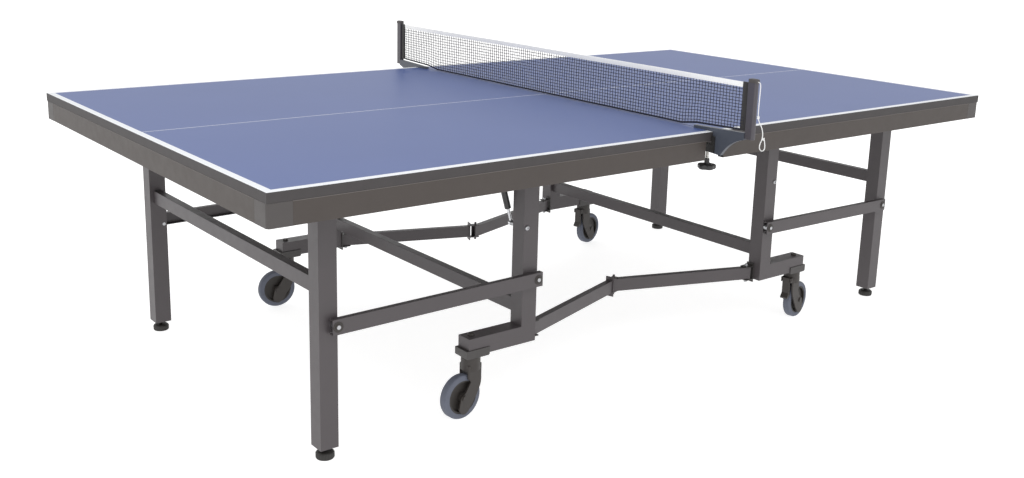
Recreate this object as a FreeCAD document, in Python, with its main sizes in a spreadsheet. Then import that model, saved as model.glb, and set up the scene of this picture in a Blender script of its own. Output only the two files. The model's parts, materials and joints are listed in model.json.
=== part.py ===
"""Folding table tennis table: two halves on wheeled undercarriages, with a clamped net.

Millimetres. +X runs along the table, +Y away from its near long side and +Z up. The
origin is on the floor under the middle of the net. The right half is modelled, and the
left half is the same set of sub-parts turned half a turn about Z.
"""
import FreeCAD, Part
import math
import os
import re
import Sketcher

Vector = FreeCAD.Vector
Rotation = FreeCAD.Rotation
Placement = FreeCAD.Placement

SIZES = {
    # top
    "table_length": 2740,
    "table_width": 1525,
    "table_height": 760,
    "board_thickness": 25,
    "centre_gap": 4,
    "apron_height": 55,
    "apron_depth": 20,
    "apron_wall": 1.5,
    "apron_start": 37,
    "corner_size": 60,
    "corner_radius": 9,
    # tubes of both frames
    "tube": 50,
    "tube_wall": 2,
    "bar_height": 40,
    "bar_depth": 25,
    "leg_y": 545,
    "leg_top": 726,
    "inner_leg_x": 502,
    "inner_leg_bottom": 178,
    "end_leg_x": 1125,
    "end_leg_bottom": 32,
    "end_plug": 10,
    "arm_end": 704,
    "inner_bar_z": 275,
    "end_bar_z": 447,
    # folding linkage: an exact parallelogram
    "fold_x": 488,
    "fold_z": 719,
    "link_span": 621,
    "link_drop": 7,
    "link_z": 363,
    "link_height": 40,
    "link_stand_off": 5,
    "link_depth": 16,
    "link_sheet": 2.5,
    "link_overhang": 15,
    "pin_radius": 5,
    "running_gap": 0.06,
    "head_radius": 9,
    "head_height": 4,
    "bracket_sheet": 3,
    "bracket_gap": 0.5,
    "bracket_half": 20,
    "bracket_foot": 24,
    # gas struts
    "strut_low_x": 517,
    "strut_low_z": 510,
    "strut_high_x": 580,
    "strut_high_z": 715,
    "strut_y": 500,
    "strut_pin": 4,
    "strut_radius": 9,
    "strut_wall": 1.5,
    "strut_rod": 4,
    "strut_neck": 45,
    "strut_neck_length": 6,
    "strut_rod_end": 150,
    "strut_piston": 8,
    "strut_eye": 8,
    "strut_eye_width": 10,
    "strut_tab_offset": 16,
    "strut_tab_half": 14,
    "strut_tab_below": 12,
    # toggle bars between the undercarriages
    "toggle_x": 455,
    "toggle_y": 530,
    "toggle_mid_y": 375,
    "toggle_z": 200,
    "toggle_height": 40,
    "toggle_depth": 20,
    "toggle_wall": 2,
    "toggle_pin": 4,
    "toggle_clevis": 64,
    "toggle_overhang": 12,
    "toggle_setback": 26,
    "toggle_bracket_half": 15,
    "toggle_plate_margin": 4,
    # levelling feet
    "foot_radius": 24,
    "foot_height": 20,
    "foot_bevel": 4,
    "stem_radius": 6,
    "stem_length": 48,
    # casters
    "caster_x": 680,
    "caster_trail": 36,
    "wheel_radius": 62.5,
    "tyre_width": 25,
    "rim_radius": 47,
    "rim_wall": 5,
    "rim_inset": 1,
    "tyre_shoulder": 5,
    "tyre_shoulder_rise": 1.5,
    "hub_radius": 13,
    "hub_width": 30,
    "web_thickness": 9,
    "axle_radius": 5,
    "fork_width": 42,
    "fork_slot": 32,
    "fork_crown": 134,
    "fork_top": 150,
    "swivel_radius": 27,
    "swivel_top": 171,
    "plate_bottom": 172,
    "plate_inward": 44,
    "plate_outward": 9,
    "plate_chamfer": 4,
    "plate_lip": 18,
    "cheek_back": 24,
    "cheek_reach": 50,
    "hood_rounding": 5,
    "lug_length": 10,
    "lug_thickness": 4,
    "brake_pin": 3,
    "brake_clearance": 3,
    # net set
    "net_height": 152.5,
    "net_plane_x": -3,
    "net_sheet": 2,
    "net_above_board": 3,
    "net_above_clamp": 4,
    "net_lift_length": 60,
    "post_inner_y": 876,
    "post_outer_y": 903,
    "post_half": 8,
    "post_top": 924,
    "post_foot": 758,
    "clamp_tip_y": 690,
    "clamp_jaw_y": 728,
    "clamp_edge_gap": 1.5,
    "clamp_arm_top": 768,
    "clamp_plate_top": 775,
    "jaw_width": 24,
    "jaw_front": 11,
    "web_outer_y": 775,
    "web_top": 748,
    "clamp_jaw_top": 725,
    "clamp_jaw_bottom": 702,
    "clamp_point_y": 795,
    "clamp_point_z": 697,
    "clamp_near_x": -2,
    "clamp_sheet": 12,
    "screw_x": -9,
    "screw_y": 744,
    "screw_radius": 5,
    "pad_thickness": 4,
    "screw_low": 672,
    "knob_radius": 27,
    "knob_low": 649,
    "knob_height": 15,
    "knob_floor": 3,
    "knob_neck": 8,
    "neck_radius": 7.5,
    "notch_offset": 33.75,
    "notch_radius": 11.3,
    "cord_radius": 1.3,
}

doc = FreeCAD.newDocument("TableTennisTable")
sheet = doc.addObject("Spreadsheet::Sheet", "Dims")
for row, (alias, value) in enumerate(SIZES.items(), start=1):
    sheet.set(f"A{row}", alias)
    sheet.set(f"B{row}", str(value))
    sheet.setAlias(f"B{row}", alias)
doc.recompute()

sub_parts = []
ALIAS = r"[a-z][a-z_]*[a-z]"


def size(alias):
    """A driving dimension, read from the sheet."""
    return float(sheet.get(alias))


def bind(feature, field, text):
    """Ties a field of a feature to a formula in the sheet's own names."""
    named = re.sub(ALIAS, lambda word: f"Dims.{word[0]}" if word[0] in SIZES else word[0], text)
    feature.setExpression(field, named)


def block(name, x, y, z):
    """A box from its low and high formula along each axis."""
    made = doc.addObject("Part::Box", name)
    for side, axis, (low, high) in zip(("Length", "Width", "Height"), "xyz", (x, y, z)):
        bind(made, side, f"({high}) - ({low})")
        bind(made, f"Placement.Base.{axis}", low)
    return made


def rod(name, axis, radius, centre, span):
    """A cylinder along one axis; centre gives its place on the other two, in x, y, z order."""
    made = doc.addObject("Part::Cylinder", name)
    along = {"x": Vector(1, 0, 0), "y": Vector(0, 1, 0), "z": Vector(0, 0, 1)}[axis]
    made.Placement = Placement(Vector(), Rotation(Vector(0, 0, 1), along))
    bind(made, "Radius", radius)
    bind(made, "Height", f"({span[1]}) - ({span[0]})")
    across = iter(centre)
    for each in "xyz":
        bind(made, f"Placement.Base.{each}", span[0] if each == axis else next(across))
    return made


def join(name, *features):
    made = doc.addObject("Part::MultiFuse", name)
    made.Shapes = list(features)
    made.Refine = True
    return made


def cut(name, base, *tools):
    made = doc.addObject("Part::Cut", name)
    made.Base = base
    made.Tool = tools[0] if len(tools) == 1 else join(f"{name}_tools", *tools)
    return made


def group(name, *features):
    made = doc.addObject("Part::Compound", name)
    made.Links = list(features)
    return made


def mirrored(feature):
    """The same piece on the other long side of the table."""
    made = doc.addObject("Part::Mirroring", f"{feature.Name}_mirrored")
    made.Source = feature
    made.Normal = Vector(0, 1, 0)
    return made


def both_sides(*features):
    """Each piece on the far side, and its mirror image on the near side."""
    return [*features, *(mirrored(each) for each in features)]


def sub_part(label, *features, place=Placement()):
    """Keeps a finished sub-part under its own name."""
    made = group(f"{label}_group", *features)
    made.Label = label
    made.Placement = place
    sub_parts.append(made)
    return made


def body_with_sketch(name, plane, points):
    """A body with a closed outline on one of its origin planes, each corner tied to formulas."""
    body = doc.addObject("PartDesign::Body", name)
    sketch = body.newObject("Sketcher::SketchObject", f"{name}_outline")
    origin_plane = next(each for each in body.Origin.OriginFeatures if each.Role == plane)
    sketch.AttachmentSupport = [(origin_plane, "")]
    sketch.MapMode = "FlatFace"
    rough = [[sheet_value(text) for text in point] for point in points]
    for start, end in zip(rough, rough[1:] + rough[:1]):
        sketch.addGeometry(Part.LineSegment(Vector(*start, 0), Vector(*end, 0)), False)
    for index, point in enumerate(points):
        before = (index - 1) % len(points)
        sketch.addConstraint(Sketcher.Constraint("Coincident", before, 2, index, 1))
        for kind, text, value in zip(("DistanceX", "DistanceY"), point, rough[index]):
            number = sketch.addConstraint(Sketcher.Constraint(kind, -1, 1, index, 1, value))
            bind(sketch, f"Constraints[{number}]", text)
    return body, sketch


def sheet_value(text):
    """The number that a formula in the sheet's names comes to."""
    words = re.findall(ALIAS, text)
    for word in sorted(set(words), key=len, reverse=True):
        text = re.sub(rf"\b{word}\b", repr(size(word)), text)
    return FreeCAD.Units.Quantity(text).Value


def padded(name, plane, points, thickness, midplane=False):
    """A flat outline given a thickness."""
    body, sketch = body_with_sketch(name, plane, points)
    pad = body.newObject("PartDesign::Pad", f"{name}_pad")
    pad.Profile = sketch
    pad.Midplane = midplane
    bind(pad, "Length", thickness)
    return body


def turned(name, points):
    """A profile of (radius, height) corners turned round the Z axis."""
    body, sketch = body_with_sketch(name, "XZ_Plane", points)
    revolution = body.newObject("PartDesign::Revolution", f"{name}_turned")
    revolution.Profile = sketch
    revolution.ReferenceAxis = (sketch, ["V_Axis"])
    revolution.Angle = 360
    return body


def rounded(body, radius, chosen):
    """Rounds those edges of a body that the chosen test picks."""
    doc.recompute()
    base = body.Tip
    edges = [f"Edge{number}" for number, edge in enumerate(base.Shape.Edges, start=1) if chosen(edge)]
    fillet = body.newObject("PartDesign::Fillet", f"{body.Name}_rounding")
    fillet.Base = (base, edges)
    bind(fillet, "Radius", radius)


def is_upright(edge):
    return abs(edge.tangentAt(edge.FirstParameter).z) > 0.99


# ---------------------------------------------------------------- places

HALVES = {"right": Placement(), "left": Placement(Vector(), Rotation(Vector(0, 0, 1), 180))}
SIDES = {"near": -1, "far": 1}
UNDERSIDE = "table_height - board_thickness"
APRON_BOTTOM = f"{UNDERSIDE} - apron_height"
LEG_OUTER = "leg_y + tube / 2"
LEG_INNER = "leg_y - tube / 2"

# how far each caster has swivelled from straight outwards, in degrees
CASTER_YAW = {("right", "near"): 10, ("right", "far"): 11, ("left", "near"): 185, ("left", "far"): 173}

# where a brake lever turns, from the swivel's axis
BRAKE_PIVOT = ("-swivel_radius - 5", "fork_crown + 14")


# ---------------------------------------------------------------- top of one half


def playing_board(half):
    board = block(
        f"{half}_board",
        ("centre_gap / 2", "table_length / 2"),
        ("-table_width / 2", "table_width / 2"),
        (UNDERSIDE, "table_height"),
    )
    sub_part(f"{half}_playing_board", board, place=HALVES[half])


def hollow_rail(name, x, y, z, open_axis, wall):
    """A box tube, open at both ends along one axis."""
    inner = [
        (low, high) if axis == open_axis else (f"{low} + {wall}", f"{high} - {wall}")
        for axis, (low, high) in zip("xyz", (x, y, z))
    ]
    return cut(name, block(f"{name}_outside", x, y, z), block(f"{name}_inside", *inner))


def apron_rails(half):
    """The steel rails under the edge of the board, open near the net for its clamps."""
    upright = (APRON_BOTTOM, UNDERSIDE)
    side = hollow_rail(
        f"{half}_side_rail",
        ("apron_start", "table_length / 2 - corner_size"),
        ("table_width / 2 - apron_depth", "table_width / 2"),
        upright,
        "x",
        "apron_wall",
    )
    end = hollow_rail(
        f"{half}_end_rail",
        ("table_length / 2 - apron_depth", "table_length / 2"),
        ("-table_width / 2 + corner_size", "table_width / 2 - corner_size"),
        upright,
        "y",
        "apron_wall",
    )
    sub_part(f"{half}_apron_rails", *both_sides(side), end, place=HALVES[half])


def corner_caps(half):
    outline = [
        ("table_length / 2 - corner_size", "table_width / 2 - apron_depth"),
        ("table_length / 2 - apron_depth", "table_width / 2 - apron_depth"),
        ("table_length / 2 - apron_depth", "table_width / 2 - corner_size"),
        ("table_length / 2", "table_width / 2 - corner_size"),
        ("table_length / 2", "table_width / 2"),
        ("table_length / 2 - corner_size", "table_width / 2"),
    ]
    cap = padded(f"{half}_cap", "XY_Plane", outline, "apron_height")
    corner = sheet_value("table_length / 2 + table_width / 2")
    rounded(
        cap,
        "corner_radius",
        lambda edge: is_upright(edge) and abs(edge.CenterOfMass.x + edge.CenterOfMass.y - corner) < 1,
    )
    bind(cap, "Placement.Base.z", APRON_BOTTOM)
    sub_part(f"{half}_corner_caps", *both_sides(cap), place=HALVES[half])


def leg_ear(name, x, z, outward):
    """One angle bracket beside a leg: an ear with the pivot hole and a foot screwed to the board."""
    face = LEG_OUTER if outward > 0 else LEG_INNER
    near, far = f"({face}) + {outward} * bracket_gap", f"({face}) + {outward} * (bracket_gap + bracket_sheet)"
    foot_end = f"({far}) + {outward} * bracket_foot"
    ear_y = (near, far) if outward > 0 else (far, near)
    foot_y = (far, foot_end) if outward > 0 else (foot_end, far)
    wide = (f"{x} - bracket_half", f"{x} + bracket_half")
    ear = block(f"{name}_ear", wide, ear_y, (f"{z} - bracket_half", UNDERSIDE))
    foot = block(f"{name}_foot", wide, foot_y, (f"{UNDERSIDE} - bracket_sheet", UNDERSIDE))
    hole = rod(f"{name}_hole", "y", "pin_radius + running_gap", (x, z), ("leg_y - tube", "leg_y + tube"))
    return cut(name, join(f"{name}_angle", ear, foot), hole)


def strut_tab(name):
    """The plate under the board beside the upper end of a gas strut."""
    wide = ("strut_high_x - strut_tab_half", "strut_high_x + strut_tab_half")
    face = "strut_y - strut_tab_offset"
    low = "strut_high_z - strut_tab_below"
    ear = block(f"{name}_ear", wide, (face, f"{face} + bracket_sheet"), (low, UNDERSIDE))
    foot = block(
        f"{name}_foot", wide, (f"{face} - bracket_foot", face), (f"{UNDERSIDE} - bracket_sheet", UNDERSIDE)
    )
    return join(name, ear, foot)


def under_top_brackets(half):
    ears = [
        leg_ear(f"{half}_{kind}_{side}", x, z, outward)
        for kind, x, z in (("inner", "fold_x", "fold_z"), ("end", "fold_x + link_span", "fold_z - link_drop"))
        for side, outward in (("outside", 1), ("inside", -1))
    ]
    tab = strut_tab(f"{half}_strut_tab")
    sub_part(f"{half}_under_top_brackets", *both_sides(*ears, tab), place=HALVES[half])


# ---------------------------------------------------------------- undercarriage of one half


def inner_legs(half):
    """A leg and its caster arm, welded into one L of square tube."""
    name = f"{half}_inner_leg"
    leg_x = ("inner_leg_x - tube / 2", "inner_leg_x + tube / 2")
    leg_y = (LEG_INNER, LEG_OUTER)
    arm_x = ("inner_leg_x", "arm_end")
    arm_z = ("inner_leg_bottom", "inner_leg_bottom + tube")
    outside = join(
        f"{name}_outside",
        block(f"{name}_upright", leg_x, leg_y, ("inner_leg_bottom", "leg_top")),
        block(f"{name}_arm", arm_x, leg_y, arm_z),
    )
    hollow_y = (f"{LEG_INNER} + tube_wall", f"{LEG_OUTER} - tube_wall")
    hollow_x = (f"{leg_x[0]} + tube_wall", f"{leg_x[1]} - tube_wall")
    inside = join(
        f"{name}_inside",
        block(f"{name}_upright_inside", hollow_x, hollow_y, ("inner_leg_bottom + tube_wall", "leg_top")),
        block(
            f"{name}_arm_inside",
            ("inner_leg_x", "arm_end - tube_wall"),
            hollow_y,
            (f"{arm_z[0]} + tube_wall", f"{arm_z[1]} - tube_wall"),
        ),
    )
    across = ("leg_y - tube", "leg_y + tube")
    arm_span = ("plate_bottom", "inner_leg_bottom + 2 * tube")
    holes = join(
        f"{name}_holes",
        rod(f"{name}_fold_hole", "y", "pin_radius", ("fold_x", "fold_z"), across),
        rod(f"{name}_link_hole", "y", "pin_radius", ("fold_x", "link_z"), across),
        rod(f"{name}_strut_hole", "y", "strut_pin", ("strut_low_x", "strut_low_z"), across),
        rod(f"{name}_king_hole", "z", "stem_radius", ("caster_x", "leg_y"), arm_span),
    )
    leg = cut(name, outside, inside, holes)
    sub_part(f"{half}_inner_legs", *both_sides(leg), place=HALVES[half])


def cross_bar(half, kind, x, z):
    """The box tube that ties the two legs of a frame together."""
    bar = hollow_rail(
        f"{half}_{kind}_bar",
        (f"{x} - bar_depth / 2", f"{x} + bar_depth / 2"),
        (f"-({LEG_INNER})", LEG_INNER),
        (f"{z} - bar_height / 2", f"{z} + bar_height / 2"),
        "y",
        "tube_wall",
    )
    sub_part(f"{half}_{kind}_crossbar", bar, place=HALVES[half])


def toggle_brackets(half):
    """The U bracket on the net side of each inner leg, in which a toggle bar turns."""
    name = f"{half}_toggle_bracket"
    wide = ("toggle_y - toggle_bracket_half", "toggle_y + toggle_bracket_half")
    tall = ("toggle_z - toggle_clevis / 2", "toggle_z + toggle_clevis / 2")
    back_x = ("inner_leg_x - tube / 2 - bracket_sheet", "inner_leg_x - tube / 2")
    back = block(f"{name}_back", back_x, wide, tall)
    ear_x = ("toggle_x - toggle_overhang", back_x[0])
    low = "toggle_z - toggle_height / 2 - bracket_gap"
    high = "toggle_z + toggle_height / 2 + bracket_gap"
    ears = [
        block(f"{name}_lower", ear_x, wide, (f"{low} - bracket_sheet", low)),
        block(f"{name}_upper", ear_x, wide, (high, f"{high} + bracket_sheet")),
    ]
    hole = rod(f"{name}_hole", "z", "toggle_pin", ("toggle_x", "toggle_y"), ("0", "toggle_z * 2"))
    sub_part(
        f"{half}_toggle_brackets",
        *both_sides(cut(name, join(f"{name}_all", back, *ears), hole)),
        place=HALVES[half],
    )


def caster_plates(half):
    """The saddle that wraps the end of each caster arm and carries the swivel."""
    name = f"{half}_caster_plate"
    ends = ("caster_x - plate_inward", "arm_end + plate_outward")
    base = padded(
        f"{name}_base",
        "XZ_Plane",
        [
            (ends[0], "inner_leg_bottom"),
            (ends[0], "plate_bottom + plate_chamfer"),
            (f"{ends[0]} + plate_chamfer", "plate_bottom"),
            (f"{ends[1]} - plate_chamfer", "plate_bottom"),
            (ends[1], "plate_bottom + plate_chamfer"),
            (ends[1], "inner_leg_bottom"),
        ],
        "tube + 2 * bracket_sheet",
        midplane=True,
    )
    bind(base, "Placement.Base.y", "leg_y")
    lip_z = ("inner_leg_bottom", "inner_leg_bottom + plate_lip")
    outside_y = (f"{LEG_INNER} - bracket_sheet", f"{LEG_OUTER} + bracket_sheet")
    lips = [
        block(f"{name}_lip_out", ends, (LEG_OUTER, outside_y[1]), lip_z),
        block(f"{name}_lip_in", ends, (outside_y[0], LEG_INNER), lip_z),
        block(f"{name}_lip_end", ("arm_end", ends[1]), outside_y, lip_z),
    ]
    hole = rod(f"{name}_hole", "z", "stem_radius", ("caster_x", "leg_y"), ("0", "leg_top"))
    sub_part(
        f"{half}_caster_plates",
        *both_sides(cut(name, join(f"{name}_all", base, *lips), hole)),
        place=HALVES[half],
    )


def headed_pin(name, axis, radius, centre, span, heads):
    """A pin with round heads; heads lists (radius, low, high) along the pin."""
    pieces = [rod(f"{name}_shank", axis, radius, centre, span)]
    for number, (head_radius, low, high) in enumerate(heads):
        pieces.append(rod(f"{name}_head{number}", axis, head_radius, centre, (low, high)))
    return join(name, *pieces)


def fold_pin(name, x, z):
    """The pin between two ears through the top of a leg."""
    inside = f"{LEG_INNER} - 2 * bracket_gap - bracket_sheet"
    outside = f"{LEG_OUTER} + 2 * bracket_gap + bracket_sheet"
    heads = (
        ("head_radius", f"{inside} - head_height", inside),
        ("head_radius", outside, f"{outside} + head_height"),
    )
    return headed_pin(name, "y", "pin_radius", (x, z), (inside, outside), heads)


def link_pin(name, x, z):
    """The bolt that carries a link bar outside a leg, with the spacer behind the bar."""
    web_inside = f"{LEG_OUTER} + link_stand_off + link_depth - link_sheet"
    head_start = f"{web_inside} + link_sheet + bracket_gap"
    heads = (
        ("head_radius + 2", LEG_OUTER, f"{web_inside} - bracket_gap"),
        ("head_radius", head_start, f"{head_start} + head_height"),
    )
    return headed_pin(name, "y", "pin_radius", (x, z), (LEG_INNER, head_start), heads)


def strut_pin(name):
    """The bolt through an inner leg that carries the lower eye of a gas strut."""
    inner_end = "strut_y - strut_eye_width / 2 - bracket_gap"
    heads = (
        ("strut_eye - 1", f"{inner_end} - bracket_sheet", inner_end),
        ("strut_eye - 1", "strut_y + strut_eye_width / 2 + bracket_gap", LEG_INNER),
        ("strut_eye - 1", LEG_OUTER, f"{LEG_OUTER} + head_height"),
    )
    return headed_pin(name, "y", "strut_pin", ("strut_low_x", "strut_low_z"), (inner_end, LEG_OUTER), heads)


def king_pin(name):
    """The bolt on which a caster swivels, with its head on top of the arm."""
    arm_top = "inner_leg_bottom + tube"
    heads = (("head_radius", arm_top, f"{arm_top} + head_height + 2"),)
    return headed_pin(name, "z", "stem_radius", ("caster_x", "leg_y"), ("fork_top", arm_top), heads)


def undercarriage_pins(half):
    name = f"{half}_pin"
    toggle_span = ("toggle_z - toggle_clevis / 2", "toggle_z + toggle_clevis / 2")
    pins = [
        fold_pin(f"{name}_fold", "fold_x", "fold_z"),
        link_pin(f"{name}_link", "fold_x", "link_z"),
        strut_pin(f"{name}_strut"),
        king_pin(f"{name}_king"),
        rod(f"{name}_toggle", "z", "toggle_pin", ("toggle_x", "toggle_y"), toggle_span),
    ]
    sub_part(f"{half}_undercarriage_pins", *both_sides(*pins), place=HALVES[half])


# ---------------------------------------------------------------- end frame of one half


def end_legs(half):
    name = f"{half}_end_leg"
    x = ("end_leg_x - tube / 2", "end_leg_x + tube / 2")
    y = (LEG_INNER, LEG_OUTER)
    outside = block(f"{name}_outside", x, y, ("end_leg_bottom", "leg_top"))
    inside = block(
        f"{name}_inside",
        (f"{x[0]} + tube_wall", f"{x[1]} - tube_wall"),
        (f"{y[0]} + tube_wall", f"{y[1]} - tube_wall"),
        ("end_leg_bottom + end_plug", "leg_top"),
    )
    across = ("leg_y - tube", "leg_y + tube")
    plug_span = ("0", "end_leg_bottom + 2 * end_plug")
    holes = join(
        f"{name}_holes",
        rod(f"{name}_fold_hole", "y", "pin_radius", ("fold_x + link_span", "fold_z - link_drop"), across),
        rod(f"{name}_link_hole", "y", "pin_radius", ("fold_x + link_span", "link_z - link_drop"), across),
        rod(f"{name}_stem_hole", "z", "stem_radius + running_gap", ("end_leg_x", "leg_y"), plug_span),
    )
    sub_part(f"{half}_end_legs", *both_sides(cut(name, outside, inside, holes)), place=HALVES[half])


def end_frame_pins(half):
    pins = [
        fold_pin(f"{half}_end_pin_fold", "fold_x + link_span", "fold_z - link_drop"),
        link_pin(f"{half}_end_pin_link", "fold_x + link_span", "link_z - link_drop"),
    ]
    sub_part(f"{half}_end_frame_pins", *both_sides(*pins), place=HALVES[half])


def levelling_foot(half, side):
    """A screwed foot: a wide disc with its threaded stem up inside the leg."""
    foot = turned(
        f"{half}_{side}_foot_body",
        [
            ("0", "0"),
            ("foot_radius - foot_bevel", "0"),
            ("foot_radius", "foot_bevel"),
            ("foot_radius", "foot_height - foot_bevel"),
            ("foot_radius - foot_bevel", "foot_height"),
            ("stem_radius", "foot_height"),
            ("stem_radius", "foot_height + stem_length"),
            ("0", "foot_height + stem_length"),
        ],
    )
    along = 1 if half == "right" else -1
    place = Placement(Vector(along * size("end_leg_x"), SIDES[side] * size("leg_y"), 0), Rotation())
    sub_part(f"{half}_{side}_levelling_foot", foot, place=place)


# ---------------------------------------------------------------- link bars and gas struts


def link_bars(half):
    """The channel bars that carry the end frame along as the top folds."""
    name = f"{half}_link_bar"
    length = math.hypot(size("link_span"), size("link_drop"))
    x = ("-link_overhang", f"{length} + link_overhang")
    low_y = f"{LEG_OUTER} + link_stand_off"
    tall = ("-link_height / 2", "link_height / 2")
    outside = block(f"{name}_outside", x, (low_y, f"{low_y} + link_depth"), tall)
    inside = block(
        f"{name}_inside",
        x,
        (low_y, f"{low_y} + link_depth - link_sheet"),
        ("-link_height / 2 + link_sheet", "link_height / 2 - link_sheet"),
    )
    across = ("leg_y", "leg_y + 2 * tube")
    holes = [
        rod(f"{name}_hole{number}", "y", "pin_radius + running_gap", (x_place, "0"), across)
        for number, x_place in enumerate(("0", f"{length}"))
    ]
    slope = math.degrees(math.atan2(size("link_drop"), size("link_span")))
    tilt = Placement(Vector(size("fold_x"), 0, size("link_z")), Rotation(Vector(0, 1, 0), slope))
    bar = cut(name, outside, inside, *holes)
    sub_part(f"{half}_link_bars", *both_sides(bar), place=HALVES[half].multiply(tilt))


def strut_place():
    """The frame of a gas strut: its origin at the lower eye and Z towards the upper eye."""
    along = size("strut_high_x") - size("strut_low_x")
    up = size("strut_high_z") - size("strut_low_z")
    lean = math.degrees(math.atan2(along, up))
    base = Vector(size("strut_low_x"), 0, size("strut_low_z"))
    return Placement(base, Rotation(Vector(0, 1, 0), lean)), math.hypot(along, up)


def eye_ring(name, z):
    span = ("strut_y - strut_eye_width / 2", "strut_y + strut_eye_width / 2")
    return rod(f"{name}_ring", "y", "strut_eye", ("0", z), span)


def strut_rods(half):
    name = f"{half}_strut_rod"
    centre = ("0", "strut_y")
    shaft = rod(f"{name}_shaft", "z", "strut_rod", centre, ("strut_eye - 1", "strut_rod_end"))
    piston = rod(
        f"{name}_piston",
        "z",
        "strut_radius - strut_wall - running_gap",
        centre,
        ("strut_rod_end - strut_piston", "strut_rod_end"),
    )
    hole = rod(f"{name}_hole", "y", "strut_pin + running_gap", ("0", "0"), ("0", "strut_y + tube"))
    place, _ = strut_place()
    made = cut(name, join(f"{name}_all", eye_ring(name, "0"), shaft, piston), hole)
    sub_part(f"{half}_strut_rods", *both_sides(made), place=HALVES[half].multiply(place))


def strut_cylinders(half):
    """The sealed cylinder, closed above and with a neck round the rod below."""
    name = f"{half}_strut_cylinder"
    place, length = strut_place()
    centre = ("0", "strut_y")
    top = f"{length} - strut_eye * 2"
    outside = rod(f"{name}_outside", "z", "strut_radius", centre, ("strut_neck", top))
    inside = rod(
        f"{name}_inside",
        "z",
        "strut_radius - strut_wall",
        centre,
        ("strut_neck + strut_neck_length", f"{top} - strut_wall"),
    )
    neck = rod(f"{name}_neck", "z", "strut_rod + running_gap", centre, ("0", "strut_rod_end"))
    stalk = rod(f"{name}_stalk", "z", "strut_rod", centre, (top, f"{length} - strut_eye + 1"))
    stud = rod(
        f"{name}_stud",
        "y",
        "strut_pin",
        ("0", f"{length}"),
        ("strut_y - strut_tab_offset + bracket_sheet + bracket_gap", "strut_y"),
    )
    shell = cut(f"{name}_shell", outside, inside, neck)
    made = join(name, shell, stalk, eye_ring(name, f"{length}"), stud)
    sub_part(f"{half}_strut_cylinders", *both_sides(made), place=HALVES[half].multiply(place))


# ---------------------------------------------------------------- toggle bars


def toggle_bar(half, side):
    """Half of a folding stay between the undercarriages; the left one carries the middle clevis."""
    name = f"{side}_{half}_toggle"
    along = 1 if half == "right" else -1
    across = SIDES[side]
    start = Vector(along * size("toggle_x"), across * size("toggle_y"), size("toggle_z"))
    middle = Vector(0, across * size("toggle_mid_y"), size("toggle_z"))
    length = (middle - start).Length
    heading = math.degrees(math.atan2(middle.y - start.y, middle.x - start.x))
    has_clevis = half == "left"
    bar_end = f"{length} - toggle_setback" if has_clevis else f"{length} + toggle_overhang"
    bar = hollow_rail(
        f"{name}_tube",
        ("-toggle_overhang", bar_end),
        ("-toggle_depth / 2", "toggle_depth / 2"),
        ("-toggle_height / 2", "toggle_height / 2"),
        "x",
        "toggle_wall",
    )
    upright = ("-toggle_clevis / 2", "toggle_clevis / 2")
    loose = "toggle_pin + running_gap"
    start_hole = rod(f"{name}_start_hole", "z", loose, ("0", "0"), upright)
    if has_clevis:
        plate = block(
            f"{name}_plate",
            (bar_end, f"{bar_end} + bracket_sheet"),
            ("-toggle_depth / 2 - toggle_plate_margin", "toggle_depth / 2 + toggle_plate_margin"),
            upright,
        )
        ear_x = (f"{bar_end} + bracket_sheet", f"{length} + toggle_overhang")
        ear_y = ("-toggle_depth / 2", "toggle_depth / 2")
        gap = "(toggle_height / 2 + bracket_gap)"
        ears = [
            block(f"{name}_upper", ear_x, ear_y, (gap, f"{gap} + bracket_sheet")),
            block(f"{name}_lower", ear_x, ear_y, (f"-{gap} - bracket_sheet", f"-{gap}")),
        ]
        middle_hole = rod(f"{name}_middle_hole", "z", "toggle_pin", (f"{length}", "0"), upright)
        pin = rod(f"{name}_middle_pin", "z", "toggle_pin", (f"{length}", "0"), upright)
        pieces = [cut(name, join(f"{name}_welded", bar, plate, *ears), start_hole, middle_hole), pin]
    else:
        middle_hole = rod(f"{name}_middle_hole", "z", loose, (f"{length}", "0"), upright)
        pieces = [cut(name, bar, start_hole, middle_hole)]
    sub_part(f"{side}_{half}_toggle_bar", *pieces, place=Placement(start, Rotation(Vector(0, 0, 1), heading)))


# ---------------------------------------------------------------- casters


def caster_place(half, side):
    along = 1 if half == "right" else -1
    base = Vector(along * size("caster_x"), SIDES[side] * size("leg_y"), 0)
    return Placement(base, Rotation(Vector(0, 0, 1), CASTER_YAW[half, side]))


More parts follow.
